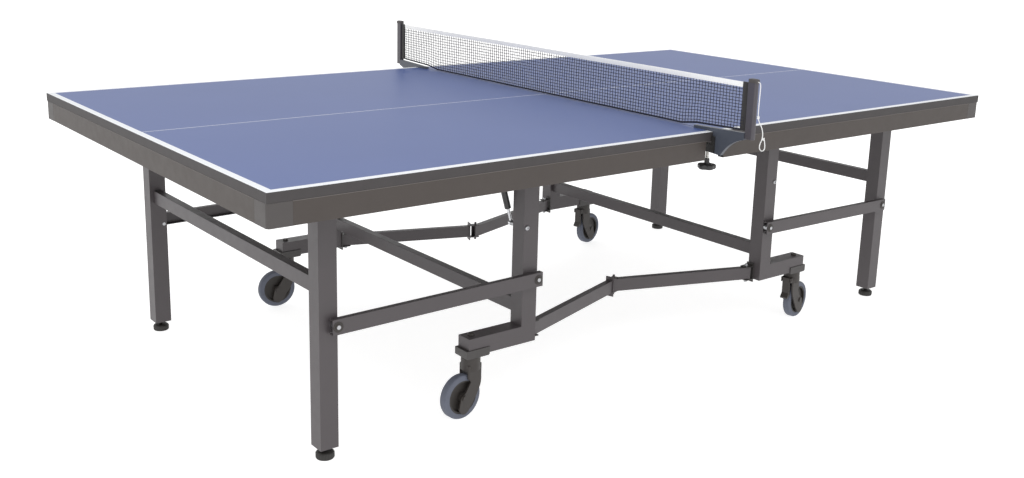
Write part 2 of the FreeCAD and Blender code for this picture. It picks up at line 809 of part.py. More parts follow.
def fork_cheeks(name):
    """The fork's side outline: from the swivel it slants down across the wheel, past the axle."""
    low = "wheel_radius - cheek_reach"
    cheeks = padded(
        f"{name}_cheeks",
        "XZ_Plane",
        [
            ("-cheek_back", "fork_top"),
            ("cheek_back", "fork_top"),
            ("cheek_back", "fork_crown - 20"),
            ("cheek_back - 9", "fork_crown - 30"),
            ("caster_trail - 4", "wheel_radius + 15"),
            ("caster_trail + 11", "wheel_radius + 5"),
            ("caster_trail + 16", "wheel_radius - 14"),
            ("caster_trail + 19", f"{low} + 22"),
            ("caster_trail + 16", f"{low} + 12"),
            ("caster_trail + 9", f"{low} + 5"),
            ("caster_trail - 1", f"{low} + 3"),
            ("caster_trail - 12", f"{low} + 9"),
            ("caster_trail - 23", f"{low} + 22"),
            ("caster_trail - 34", f"{low} + 39"),
            ("-cheek_back + 16", "wheel_radius + 5"),
            ("-cheek_back + 6", "wheel_radius + 25"),
            ("-cheek_back", "fork_crown - 24"),
        ],
        "fork_width",
        midplane=True,
    )
    lowest = sheet_value("fork_crown - 24")
    rounded(cheeks, "hood_rounding", lambda edge: is_upright(edge) and edge.CenterOfMass.z > lowest)
    half_slot = "fork_slot / 2"
    clear = ("-caster_x", "caster_x")
    slot = block(f"{name}_slot", clear, (f"-{half_slot}", half_slot), ("0", "fork_crown"))
    axle = ("caster_trail", "wheel_radius")
    axle_hole = rod(f"{name}_axle_hole", "y", "axle_radius", axle, ("-tube", "tube"))
    return cut(f"{name}_slotted", cheeks, slot, axle_hole)


def brake_lugs(name):
    """The two ears behind the swivel head between which the brake lever hangs."""
    edges = ("-fork_slot / 2 - lug_thickness / 2 - 1", "fork_slot / 2 - lug_thickness / 2 + 1")
    return [
        block(
            f"{name}_lug{number}",
            ("-swivel_radius - lug_length", "-swivel_radius / 2"),
            (low, f"{low} + lug_thickness"),
            ("fork_crown + 4", "fork_top + 4"),
        )
        for number, low in enumerate(edges)
    ]


def caster_fork(half, side, braked):
    name = f"{half}_{side}_fork"
    king_span = ("fork_top - 1", "swivel_top + 1")
    king_hole = rod(f"{name}_king_hole", "z", "stem_radius + running_gap", ("0", "0"), king_span)
    head = rod(f"{name}_head", "z", "swivel_radius", ("0", "0"), ("fork_crown", "swivel_top"))
    pieces, holes, pins = [fork_cheeks(name), head], [king_hole], []
    if braked:
        pieces += brake_lugs(name)
        holes.append(rod(f"{name}_brake_hole", "y", "brake_pin", BRAKE_PIVOT, ("-tube", "tube")))
        brake_span = ("-fork_width / 2 + 1", "fork_width / 2 - 1")
        pins.append(rod(f"{name}_brake_pin", "y", "brake_pin", BRAKE_PIVOT, brake_span))
    whole = cut(name, join(f"{name}_whole", *pieces), *holes)
    cheek_faces = ("-fork_width / 2", "fork_width / 2")
    axle_heads = (
        ("axle_radius + 3", f"{cheek_faces[0]} - 3", cheek_faces[0]),
        ("axle_radius + 3", cheek_faces[1], f"{cheek_faces[1]} + 3"),
    )
    axle_place = ("caster_trail", "wheel_radius")
    axle = headed_pin(f"{name}_axle", "y", "axle_radius", axle_place, cheek_faces, axle_heads)
    sub_part(f"{half}_{side}_caster_fork", whole, axle, *pins, place=caster_place(half, side))


def brake_lever(half, side):
    """A lever hung on the fork, whose lower end closes on the tyre."""
    name = f"{half}_{side}_brake"
    back = "-swivel_radius"
    lever = padded(
        name,
        "XZ_Plane",
        [
            (f"{back} - 10", "fork_crown + 19"),
            (f"{back} - 4", "fork_crown + 19"),
            (f"{back} - 4", "fork_crown - 4"),
            (f"{back} - 1", "fork_crown - 10"),
            (f"{back} - 1", "fork_crown - 44"),
            (f"{back} - 17", "fork_crown - 53"),
            (f"{back} - 19", "fork_crown - 48"),
            (f"{back} - 10", "fork_crown - 34"),
        ],
        "fork_slot - 2 * brake_clearance",
        midplane=True,
    )
    hole = rod(f"{name}_hole", "y", "brake_pin + running_gap", BRAKE_PIVOT, ("-tube", "tube"))
    lever = cut(f"{name}_bored", lever, hole)
    sub_part(f"{half}_{side}_brake_lever", lever, place=caster_place(half, side))


def wheel_place(half, side):
    upright = Placement(Vector(size("caster_trail"), 0, size("wheel_radius")), Rotation(Vector(1, 0, 0), 90))
    return caster_place(half, side).multiply(upright)


def caster_hub(half, side):
    bore = "axle_radius + running_gap"
    rim_inside = "rim_radius - rim_wall"
    hub = turned(
        f"{half}_{side}_hub",
        [
            (bore, "-hub_width / 2"),
            ("hub_radius", "-hub_width / 2"),
            ("hub_radius", "-web_thickness / 2"),
            (rim_inside, "-web_thickness / 2"),
            (rim_inside, "-tyre_width / 2 + rim_inset"),
            ("rim_radius", "-tyre_width / 2 + rim_inset"),
            ("rim_radius", "tyre_width / 2 - rim_inset"),
            (rim_inside, "tyre_width / 2 - rim_inset"),
            (rim_inside, "web_thickness / 2"),
            ("hub_radius", "web_thickness / 2"),
            ("hub_radius", "hub_width / 2"),
            (bore, "hub_width / 2"),
        ],
    )
    sub_part(f"{half}_{side}_wheel_hub", hub, place=wheel_place(half, side))


def caster_tyre(half, side):
    tyre = turned(
        f"{half}_{side}_tyre",
        [
            ("rim_radius", "-tyre_width / 2"),
            ("wheel_radius - tyre_shoulder", "-tyre_width / 2"),
            ("wheel_radius - tyre_shoulder_rise", "-tyre_width / 2 + tyre_shoulder_rise"),
            ("wheel_radius", "-tyre_width / 2 + tyre_shoulder"),
            ("wheel_radius", "tyre_width / 2 - tyre_shoulder"),
            ("wheel_radius - tyre_shoulder_rise", "tyre_width / 2 - tyre_shoulder_rise"),
            ("wheel_radius - tyre_shoulder", "tyre_width / 2"),
            ("rim_radius", "tyre_width / 2"),
        ],
    )
    sub_part(f"{half}_{side}_wheel_tyre", tyre, place=wheel_place(half, side))


# ---------------------------------------------------------------- net set

POST_X = ("net_plane_x - post_half", "net_plane_x + post_half")


def clamp_plate():
    """The clamp's side outline: an arm over the board, a throat at its edge and a plate under the post."""
    edge = "table_width / 2 + clamp_edge_gap"
    outline = [
        ("clamp_tip_y", "table_height"),
        ("clamp_tip_y", "clamp_arm_top"),
        ("post_inner_y", "clamp_plate_top"),
        ("post_inner_y", "clamp_point_z"),
        ("clamp_point_y", "clamp_point_z"),
        ("clamp_jaw_y", "clamp_jaw_bottom"),
        ("clamp_jaw_y", "clamp_jaw_top"),
        (edge, "clamp_jaw_top"),
        (edge, "table_height"),
    ]
    plate = padded("clamp_plate", "YZ_Plane", outline, "clamp_sheet")
    bind(plate, "Placement.Base.x", "clamp_near_x - clamp_sheet")
    return plate


def net_clamps():
    """The plate that reaches out to a post, and the block behind it that grips the board's edge."""
    drop = "(post_foot - clamp_point_z)"
    sweep = f"((post_outer_y - clamp_point_y)^2 + {drop}^2) / (2 * {drop})"
    hollow_centre = ("post_outer_y", f"post_foot - {sweep}")
    clear = ("clamp_near_x - 2 * clamp_sheet", "clamp_sheet")
    hollow = rod("clamp_hollow", "x", sweep, hollow_centre, clear)
    jaw = block(
        "clamp_jaw",
        ("screw_x - jaw_front", "clamp_near_x"),
        ("screw_y - jaw_width / 2", "screw_y + jaw_width / 2"),
        ("clamp_jaw_bottom", "clamp_jaw_top"),
    )
    web = block(
        "clamp_web",
        ("screw_x - jaw_front", "clamp_near_x"),
        ("table_width / 2 + clamp_edge_gap", "web_outer_y"),
        ("clamp_jaw_bottom", "web_top"),
    )
    bridge = block(
        "clamp_bridge",
        ("screw_x - jaw_front", "clamp_near_x"),
        ("screw_y", "web_outer_y"),
        ("clamp_jaw_bottom", "clamp_jaw_top"),
    )
    screw_place = ("screw_x", "screw_y")
    hole = rod("clamp_hole", "z", "screw_radius + running_gap", screw_place, ("0", "clamp_jaw_top + 5"))
    clamp = cut("clamp", join("clamp_whole", clamp_plate(), jaw, web, bridge), hole, hollow)
    sub_part("net_clamps", *both_sides(clamp))


def net_posts():
    """The upright box post at each end of the net, rounded on its outer side."""
    outline = [
        (POST_X[0], "post_inner_y"),
        (POST_X[1], "post_inner_y"),
        (POST_X[1], "post_outer_y"),
        (POST_X[0], "post_outer_y"),
    ]
    post = padded("post", "XY_Plane", outline, "post_top - post_foot")
    outer = sheet_value("post_outer_y - 1")
    rounded(post, "post_half - 2", lambda edge: is_upright(edge) and edge.CenterOfMass.y > outer)
    bind(post, "Placement.Base.z", "post_foot")
    sub_part("net_posts", *both_sides(post))


def clamp_pad(side):
    """The pressure pad that the screw pushes up against the board."""
    top = f"{UNDERSIDE} - bracket_gap"
    centre = ("screw_x", f"{SIDES[side]} * screw_y")
    pad = rod("pad", "z", "screw_radius + 3", centre, (f"{top} - pad_thickness", top))
    sub_part(f"{side}_clamp_pad", pad)


def clamp_screw(side):
    """The threaded spindle with its lobed hand knob."""
    name = f"{side}_screw"
    centre = ("screw_x", f"{SIDES[side]} * screw_y")
    knob_top = "knob_low + knob_height"
    seat = "knob_low + knob_floor"
    spindle_top = f"{UNDERSIDE} - bracket_gap - pad_thickness - 3 * running_gap"
    spindle = rod(name, "z", "screw_radius", centre, (seat, spindle_top))
    disc = rod(f"{name}_disc", "z", "knob_radius", centre, ("knob_low", knob_top))
    neck = rod(f"{name}_neck", "z", "neck_radius", centre, (knob_top, "screw_low + knob_neck"))
    lobes = 5
    notches = []
    for number in range(lobes):
        turn = math.radians(360 / lobes * number)
        notch_centre = (
            f"screw_x + notch_offset * {math.cos(turn):.6f}",
            f"{SIDES[side]} * screw_y + notch_offset * {math.sin(turn):.6f}",
        )
        notches.append(rod(f"{name}_notch{number}", "z", "notch_radius", notch_centre, ("0", knob_top)))
    bore = rod(f"{name}_bore", "z", "screw_radius", centre, (seat, "screw_low + 2 * knob_neck"))
    knob = cut(f"{name}_knob", join(f"{name}_knob_whole", disc, neck), *notches, bore)
    sub_part(f"{side}_clamp_screw", spindle, knob)


def net_cloth():
    """The net as a thin closed sheet; its lower edge rises over the clamps."""
    low = "table_height + net_above_board"
    right_side = [
        ("clamp_tip_y - net_lift_length", low),
        ("clamp_tip_y", "clamp_arm_top + net_above_clamp"),
        ("post_inner_y", "clamp_plate_top + net_above_clamp"),
        ("post_inner_y", "table_height + net_height"),
    ]
    left_side = [(f"-({y})", z) for y, z in reversed(right_side)]
    net = padded("cloth", "YZ_Plane", left_side + right_side, "net_sheet")
    bind(net, "Placement.Base.x", "net_plane_x - net_sheet / 2")
    sub_part("net", net)


def rounded_route(points):
    """Straight runs through the points, joined by arcs as large as the runs allow."""
    edges, radii, here = [], [], points[0]
    for before, corner, after in zip(points, points[1:], points[2:]):
        back, forward = before - corner, after - corner
        half_turn = (math.pi - back.getAngle(forward)) / 2
        trim = 0.45 * min(back.Length, forward.Length)
        radii.append(trim / math.tan(half_turn))
        start = corner + back * (trim / back.Length)
        end = corner + forward * (trim / forward.Length)
        inwards = (back * (1 / back.Length) + forward * (1 / forward.Length)).normalize()
        centre = corner + inwards * math.hypot(trim, radii[-1])
        middle = centre - inwards * radii[-1]
        edges += [Part.LineSegment(here, start).toShape(), Part.Arc(start, middle, end).toShape()]
        here = end
    edges.append(Part.LineSegment(here, points[-1]).toShape())
    return Part.Wire(edges), radii


# the tension cord: from the top of the near post down its outer side, and round its loose loop
CORD_ROUTE = [
    Vector(-3, -903, 917),
    Vector(-3, -908.5, 917),
    Vector(-3, -912.5, 913),
    Vector(-3, -913, 904),
    Vector(-3, -911, 830),
    Vector(-3, -915, 812),
    Vector(-3, -927, 798),
    Vector(-3.5, -933, 781),
    Vector(-4, -932, 765),
    Vector(-4.5, -925.5, 751),
    Vector(-4, -924.5, 739),
    Vector(-3, -932.5, 732),
    Vector(-2, -941, 738.5),
    Vector(-1, -941, 751),
    Vector(0, -936.5, 764),
]


def tension_cord():
    path, radii = rounded_route(CORD_ROUTE)
    first = (CORD_ROUTE[1] - CORD_ROUTE[0]).normalize()
    section = Part.Wire([Part.Circle(CORD_ROUTE[0], first, size("cord_radius")).toShape()])
    tube = path.makePipeShell([section], True, False)
    expected = math.pi * size("cord_radius") ** 2 * path.Length
    print("cord length", round(path.Length, 1), "volume over expected", round(tube.Volume / expected, 4))
    print("cord radii", [round(radius, 1) for radius in radii])
    made = doc.addObject("Part::Feature", "tension_cord_shape")
    made.Shape = tube
    sub_part("tension_cord", made)


# ---------------------------------------------------------------- the whole table


def build():
    for half in HALVES:
        playing_board(half)
        apron_rails(half)
        corner_caps(half)
        under_top_brackets(half)
        inner_legs(half)
        cross_bar(half, "lower", "inner_leg_x", "inner_bar_z")
        toggle_brackets(half)
        caster_plates(half)
        undercarriage_pins(half)
        end_legs(half)
        cross_bar(half, "end", "end_leg_x", "end_bar_z")
        end_frame_pins(half)
        link_bars(half)
        strut_rods(half)
        strut_cylinders(half)
        for side in SIDES:
            levelling_foot(half, side)
            toggle_bar(half, side)
            caster_fork(half, side, braked=half == "right")
            caster_hub(half, side)
            caster_tyre(half, side)
            if half == "right":
                brake_lever(half, side)
    net_clamps()
    net_posts()
    net_cloth()
    for side in SIDES:
        clamp_pad(side)
        clamp_screw(side)
    tension_cord()


def write():
    doc.recompute()
    for each in doc.Objects:
        if {"Invalid", "Error"} & set(each.State):
            raise RuntimeError(f"{each.Name} is {each.State}")
    for each in sub_parts:
        if each.Shape.isNull() or not each.Shape.isValid():
            raise RuntimeError(f"{each.Label} has no valid shape")
    os.makedirs("parts", exist_ok=True)
    for each in sub_parts:
        each.Shape.exportStep(f"parts/{each.Label}.step")
        print(f"{each.Label}: {len(each.Shape.Solids)} solids, {each.Shape.Volume / 1000:.1f} cm3")
    print(len(sub_parts), "sub-parts")


build()
write()
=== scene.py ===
"""Looks for the folding table tennis table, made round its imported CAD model.

Metres, in the frame of the CAD: X runs along the table, Y away from its near long side and
Z up. The right half is described, and the left half is the same turned half a turn about Z.
"""

import json
import math

import bmesh
import bpy
from mathutils import Matrix, Vector


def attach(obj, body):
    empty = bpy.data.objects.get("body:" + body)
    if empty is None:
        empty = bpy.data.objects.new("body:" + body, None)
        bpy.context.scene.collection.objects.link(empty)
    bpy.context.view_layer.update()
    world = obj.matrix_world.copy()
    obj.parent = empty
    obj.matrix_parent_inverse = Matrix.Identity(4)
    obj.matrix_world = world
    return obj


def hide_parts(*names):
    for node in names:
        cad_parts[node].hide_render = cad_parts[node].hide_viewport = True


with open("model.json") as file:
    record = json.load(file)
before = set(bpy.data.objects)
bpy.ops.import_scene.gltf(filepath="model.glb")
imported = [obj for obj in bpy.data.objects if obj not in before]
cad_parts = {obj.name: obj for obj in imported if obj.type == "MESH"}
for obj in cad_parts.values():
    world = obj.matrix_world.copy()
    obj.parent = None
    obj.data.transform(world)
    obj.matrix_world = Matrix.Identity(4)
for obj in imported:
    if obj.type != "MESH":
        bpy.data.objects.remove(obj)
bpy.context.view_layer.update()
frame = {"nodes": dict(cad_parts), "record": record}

HALF_TURNS = {"right": Matrix.Identity(4), "left": Matrix.Rotation(math.pi, 4, "Z")}
SIDES = {"near": -1, "far": 1}


# ---------------------------------------------------------------- camera


def make_camera():
    """The photograph's viewpoint: in front of the near left corner, a little above the top."""
    eye = (-2.3788, -2.8793, 1.3352)
    yaw, pitch, roll = 0.893, -0.229, 0.029
    level_ahead = Vector((math.cos(yaw), math.sin(yaw), 0))
    ahead = level_ahead * math.cos(pitch) + Vector((0, 0, math.sin(pitch)))
    level = Vector((math.sin(yaw), -math.cos(yaw), 0))
    above = level.cross(ahead)
    across = level * math.cos(roll) + above * math.sin(roll)
    upward = above * math.cos(roll) - level * math.sin(roll)
    data = bpy.data.cameras.new("camera")
    data.sensor_width = 36
    data.lens = 39.845
    data.shift_x = -0.0153
    data.shift_y = -0.0576
    camera = bpy.data.objects.new("camera", data)
    turn = Matrix((across, upward, -ahead)).transposed().to_4x4()
    camera.matrix_world = Matrix.Translation(eye) @ turn
    bpy.context.scene.collection.objects.link(camera)
    bpy.context.scene.camera = camera


make_camera()


# ---------------------------------------------------------------- materials


def srgb(red, green, blue):
    """A screen colour, 0 to 255, as the linear colour that a shader takes."""
    def linear(value):
        share = value / 255
        return share / 12.92 if share <= 0.04045 else ((share + 0.055) / 1.055) ** 2.4
    return linear(red), linear(green), linear(blue), 1


class Paint:
    """One node material, with a short way to add and join its nodes."""

    def __init__(self, name):
        self.material = bpy.data.materials.new(name)
        self.material.use_nodes = True
        self.tree = self.material.node_tree
        self.tree.nodes.clear()
        self.shader = self.add("BsdfPrincipled")
        output = self.tree.nodes.new("ShaderNodeOutputMaterial")
        self.tree.links.new(self.shader.outputs["BSDF"], output.inputs["Surface"])
        self.place = self.add("TexCoord").outputs["Object"]

    def add(self, kind, settings=None, inputs=None):
        made = self.tree.nodes.new(f"ShaderNode{kind}")
        for name, value in (settings or {}).items():
            setattr(made, name, value)
        self.join(made, inputs or {})
        return made

    def join(self, made, inputs):
        """Sets each named input to a number or colour, or links it to another node's output."""
        for name, value in inputs.items():
            if isinstance(value, bpy.types.NodeSocket):
                self.tree.links.new(value, made.inputs[name])
            else:
                made.inputs[name].default_value = value

    def noise(self, scale, detail=4, stretch=(1, 1, 1)):
        mapped = self.add("Mapping", inputs={"Vector": self.place, "Scale": stretch})
        inputs = {"Vector": mapped.outputs["Vector"], "Scale": scale, "Detail": detail}
        return self.add("TexNoise", inputs=inputs).outputs["Fac"]

    def between(self, factor, low, high):
        """A number that follows a 0 to 1 factor from low to high."""
        inputs = {"Value": factor, "To Min": low, "To Max": high}
        return self.add("MapRange", inputs=inputs).outputs["Result"]

    def math(self, operation, first, second=0.0):
        made = self.add("Math", {"operation": operation})
        self.join(made, {0: first, 1: second})
        return made.outputs["Value"]

    def blend(self, factor, first, second):
        """The first colour where the factor is 0, and the second where it is 1."""
        made = self.add("Mix", {"data_type": "RGBA"})
        self.join(made, {0: factor, 6: first, 7: second})
        return made.outputs[2]

    def bump(self, height, depth, strength=1.0):
        """Relief that is depth metres from the lowest to the highest value of height."""
        inputs = {"Height": height, "Distance": depth, "Strength": strength}
        self.join(self.shader, {"Normal": self.add("Bump", inputs=inputs).outputs["Normal"]})

    def finish(self, **inputs):
        self.join(self.shader, {name.replace("_", " "): value for name, value in inputs.items()})
        return self.material


def shade(colour, share):
    """A colour made lighter or darker."""
    return (*(min(1, value * share) for value in colour[:3]), 1)


def coated(name, colour, roughness=0.42, grain=900, depth=0.00006, mottle=0.08, metallic=0.0):
    """Powder coat or moulded plastic: fine orange peel, slightly uneven in colour and gloss."""
    paint = Paint(name)
    clouds = paint.noise(9, detail=6)
    grains = paint.noise(grain, detail=2)
    paint.bump(grains, depth)
    tone = paint.blend(clouds, shade(colour, 1 - mottle), shade(colour, 1 + mottle))
    gloss = paint.between(paint.noise(35), roughness - 0.07, roughness + 0.07)
    return paint.finish(Base_Color=tone, Roughness=gloss, Metallic=metallic)


def playing_surface():
    """Blue lacquer with painted white lines on top, a dark sealed edge and a plain underside."""
    paint = Paint("board")
    line_width, centre_line_width = 0.020, 0.003
    half_length, half_width = 1.370, 0.7625
    axes = paint.add("SeparateXYZ", inputs={"Vector": paint.place})
    along = paint.math("ABSOLUTE", axes.outputs["X"])
    across = paint.math("ABSOLUTE", axes.outputs["Y"])
    end_line = paint.math("GREATER_THAN", along, half_length - line_width)
    side_line = paint.math("GREATER_THAN", across, half_width - line_width)
    centre_line = paint.math("LESS_THAN", across, centre_line_width / 2)
    lines = paint.math("MAXIMUM", paint.math("MAXIMUM", end_line, side_line), centre_line)
    blue = paint.blend(paint.noise(3, detail=6), srgb(65, 86, 142), srgb(72, 93, 150))
    white = paint.blend(paint.noise(60), srgb(222, 225, 230), srgb(236, 238, 241))
    top = paint.blend(lines, blue, white)
    facing = paint.add("SeparateXYZ", inputs={"Vector": paint.add("TexCoord").outputs["Normal"]})
    is_top = paint.math("GREATER_THAN", facing.outputs["Z"], 0.5)
    is_under = paint.math("LESS_THAN", facing.outputs["Z"], -0.5)
    fibres = paint.noise(220, detail=8, stretch=(1, 4, 1))
    edge = paint.blend(paint.noise(40), srgb(49, 46, 46), srgb(60, 56, 57))
    under = paint.blend(fibres, srgb(58, 55, 53), srgb(74, 70, 67))
    colour = paint.blend(is_top, paint.blend(is_under, edge, under), top)
    peel = paint.noise(420, detail=3)
    paint.bump(peel, 0.00005)
    matt = paint.between(is_top, 0.62, 0.42)
    return paint.finish(Base_Color=colour, Roughness=matt)


def clamp_paint():
    """Blue-grey powder coat, and black on the jaw block behind the plate."""
    paint = Paint("clamp")
    plate_back = -0.0142
    axes = paint.add("SeparateXYZ", inputs={"Vector": paint.place})
    is_jaw = paint.math("LESS_THAN", axes.outputs["X"], plate_back)
    paint.bump(paint.noise(900, detail=2), 0.00006)
    plate = paint.blend(paint.noise(12, detail=6), srgb(58, 62, 71), srgb(70, 75, 86))
    jaw = paint.blend(paint.noise(50), srgb(26, 25, 26), srgb(38, 37, 37))
    colour = paint.blend(is_jaw, plate, jaw)
    return paint.finish(Base_Color=colour, Roughness=paint.between(is_jaw, 0.36, 0.5))


def metal(name, colour, roughness=0.3, stretch=(1, 1, 1)):
    """Bright metal with fine drawing marks and a little staining."""
    paint = Paint(name)
    marks = paint.noise(700, detail=6, stretch=stretch)
    paint.bump(marks, 0.00002)
    tone = paint.blend(paint.noise(120), shade(colour, 0.82), colour)
    gloss = paint.between(marks, roughness - 0.08, roughness + 0.12)
    return paint.finish(Base_Color=tone, Roughness=gloss, Metallic=1.0)


def rubber():
    """The tyres: soft blue-grey rubber, unevenly dusty."""
    paint = Paint("tyre")
    dust = paint.noise(55, detail=8)
    paint.bump(paint.noise(650, detail=4), 0.00012)
    tone = paint.blend(dust, srgb(80, 84, 96), srgb(95, 99, 112))
    gloss = paint.between(dust, 0.6, 0.82)
    return paint.finish(Base_Color=tone, Roughness=gloss)


def woven(name, dark, light, scale):
    """Cloth with crossed ribs: its wave textures repeat 20 * scale / (2 * pi) times in a metre."""
    paint = Paint(name)
    bands = {"wave_type": "BANDS", "bands_direction": "Y"}
    weft = paint.add("TexWave", bands, {"Vector": paint.place, "Scale": scale})
    upright = {"wave_type": "BANDS", "bands_direction": "Z"}
    warp = paint.add("TexWave", upright, {"Vector": paint.place, "Scale": scale})
    weave = paint.math("MULTIPLY", weft.outputs["Fac"], warp.outputs["Fac"])
    paint.bump(weave, 0.0002)
    tone = paint.blend(paint.math("MULTIPLY", weave, paint.noise(90)), dark, light)
    return paint.finish(Base_Color=tone, Roughness=0.85, Sheen_Weight=0.25)


def braided_cord():
    paint = Paint("cord")
    strands = {"wave_type": "BANDS", "bands_direction": "DIAGONAL"}
    wave = paint.add("TexWave", strands, {"Vector": paint.place, "Scale": 190, "Distortion": 1.5})
    paint.bump(wave.outputs["Fac"], 0.0003)
    tone = paint.blend(wave.outputs["Fac"], srgb(206, 207, 208), srgb(240, 240, 238))
    return paint.finish(Base_Color=tone, Roughness=0.8, Sheen_Weight=0.3)


MATERIALS = {
    "board_blue": playing_surface(),
    "apron_paint": coated("apron", srgb(59, 52, 48), roughness=0.52),
    "cap_plastic": coated("cap", srgb(66, 62, 61), roughness=0.5, grain=1400, depth=0.0001),
    "bracket_paint": coated("bracket", srgb(57, 54, 53)),
    "frame_paint": coated("frame", srgb(70, 65, 67)),
    "bolt_steel": metal("bolt", srgb(186, 187, 190)),
    "strut_chrome": metal("strut_rod", srgb(214, 215, 218), roughness=0.14),
    "strut_paint": coated("strut", srgb(46, 45, 46), roughness=0.3, depth=0.00003),
    "foot_plastic": coated("foot", srgb(38, 36, 34), roughness=0.58, grain=1500, depth=0.0001),
    "caster_plastic": coated("fork", srgb(47, 42, 39), roughness=0.5, grain=1500, depth=0.0001),
    "hub_plastic": coated("hub", srgb(42, 38, 35), roughness=0.55, grain=1500, depth=0.0001),
    "tyre_rubber": rubber(),
    "net_set_paint": clamp_paint(),
    "pad_rubber": coated("pad", srgb(30, 30, 31), roughness=0.8, grain=1200, depth=0.0001),
    "knob_plastic": coated("knob", srgb(34, 33, 34), roughness=0.4, grain=1500, depth=0.00008),
    "net_mesh": coated("net_thread", srgb(22, 24, 40), roughness=0.8, grain=1600, mottle=0.25),
    "cord_white": braided_cord(),
}
TAPE = woven("tape", srgb(234, 234, 233), srgb(250, 250, 249), scale=45)
POST_PAINT = coated("post", srgb(67, 64, 70), roughness=0.36)
SPINDLE_STEEL = metal("spindle", srgb(226, 224, 218), roughness=0.42)
# painted highlight: the rails' flange edge, in a lighter copy of the rail paint that stands for
# the light it catches
FLANGE_HIGHLIGHT_PAINT = coated("seam", srgb(92, 87, 84), roughness=0.55)
BAND_CLOTH = woven("band", srgb(30, 28, 29), srgb(52, 49, 49), scale=60)


def paint_cad_nodes():
    slots = {part["node"]: part["material_slot"] for part in frame["record"]["subparts"]}
    for name, shown in frame["nodes"].items():
        paint = POST_PAINT if name == "net_posts" else MATERIALS[slots[name]]
        shown.data.materials.clear()
        shown.data.materials.append(paint)


def soften_edges():
    """Rounds the edges of the boards and of the painted steel a little."""
    crisp = ("board_blue", "apron_paint", "bracket_paint", "frame_paint", "net_set_paint")
    for part in frame["record"]["subparts"]:
        if part["material_slot"] not in crisp:
            continue
        shown = frame["nodes"][part["node"]]
        weld = shown.modifiers.new("weld", "WELD")
        weld.merge_threshold = 0.000002
        planes = shown.modifiers.new("whole_faces", "DECIMATE")
        planes.decimate_type = "DISSOLVE"
        planes.angle_limit = math.radians(1)
        bevel = shown.modifiers.new("soft_edges", "BEVEL")
        bevel.width = 0.0009
        bevel.segments = 2
        bevel.limit_method = "ANGLE"
        bevel.angle_limit = math.radians(50)
        shading = shown.modifiers.new("flat_faces", "WEIGHTED_NORMAL")
        shading.mode = "FACE_AREA"
        shading.weight = 100


paint_cad_nodes()
soften_edges()


# ---------------------------------------------------------------- building pieces


def circle(radius):
    """An outline of one radius, for turned()."""
    return lambda angle: radius


def polygon(radius, corners):
    """A regular outline with its corners at that radius."""
    step = 2 * math.pi / corners
    inner = radius * math.cos(step / 2)
    return lambda angle: inner / math.cos((angle % step) - step / 2)


def rounded_box(half_x, half_y):
    """A rectangle's outline with generously rounded corners."""
    power = 6
    return lambda angle: (
        abs(math.cos(angle) / half_x) ** power + abs(math.sin(angle) / half_y) ** power
    ) ** (-1 / power)


def turned(made, rings, place, steps=24):
    """Adds a closed body to a bmesh; each ring is an outline and its height on Z of the place."""
    angles = [2 * math.pi * step / steps for step in range(steps)]
    loops = []
    for outline, height in rings:
        spots = [(outline(a) * math.cos(a), outline(a) * math.sin(a), height) for a in angles]
        loops.append([made.verts.new(place @ Vector(spot)) for spot in spots])
    for lower, upper in zip(loops, loops[1:]):
        for one in range(steps):
            other = (one + 1) % steps
            made.faces.new((lower[one], lower[other], upper[other], upper[one]))
    made.faces.new(list(reversed(loops[0])))
    made.faces.new(loops[-1])


def add_piece(name, made, material, body, stands_for=(), sharp=35):
    """Turns a bmesh into a piece that rides on a body and may stand for CAD nodes."""
    data = bpy.data.meshes.new(name)
    bmesh.ops.recalc_face_normals(made, faces=made.faces)
    made.to_mesh(data)
    made.free()
    for face in data.polygons:
        face.use_smooth = True
    data.set_sharp_from_angle(angle=math.radians(sharp))
    data.materials.append(material)
    piece = bpy.data.objects.new(name, data)
    bpy.context.scene.collection.objects.link(piece)
    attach(piece, body)
    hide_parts(*stands_for)
    return piece


def across_y(x, y, z, outward):
    """A place whose Z points along Y, outwards for +1 and inwards for -1."""
    return Matrix.Translation((x, y, z)) @ Matrix.Rotation(-outward * math.pi / 2, 4, "X")


# ---------------------------------------------------------------- tension cord

CORD_DIAMETER = 0.0026
CORD_ROUTE = [
    (-0.003, -0.903, 0.917),
    (-0.003, -0.9085, 0.917),
    (-0.003, -0.9125, 0.913),
    (-0.003, -0.913, 0.904),
    (-0.003, -0.911, 0.830),
    (-0.003, -0.915, 0.812),
    (-0.003, -0.927, 0.798),
    (-0.0035, -0.933, 0.781),
    (-0.004, -0.932, 0.765),
    (-0.0045, -0.9255, 0.751),
    (-0.004, -0.9245, 0.739),
    (-0.003, -0.9325, 0.732),
    (-0.002, -0.941, 0.7385),
    (-0.001, -0.941, 0.751),
    (0.000, -0.9365, 0.764),
]


def smooth_line(name, points, thickness, closed=False):
    """A round line through space, on a spline that has the points as its control points."""
    data = bpy.data.curves.new(name, "CURVE")
    data.dimensions = "3D"
    data.bevel_depth = thickness / 2
    data.bevel_resolution = 4
    data.resolution_u = 16
    data.use_fill_caps = True
    spline = data.splines.new("NURBS")
    spline.points.add(len(points) - 1)
    for point, place in zip(spline.points, points):
        point.co = (*place, 1)
    spline.order_u = 3
    spline.use_cyclic_u = closed
    spline.use_endpoint_u = not closed
    data.materials.append(MATERIALS["cord_white"])
    line = bpy.data.objects.new(name, data)
    bpy.context.scene.collection.objects.link(line)
    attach(line, "left_top")
    return line


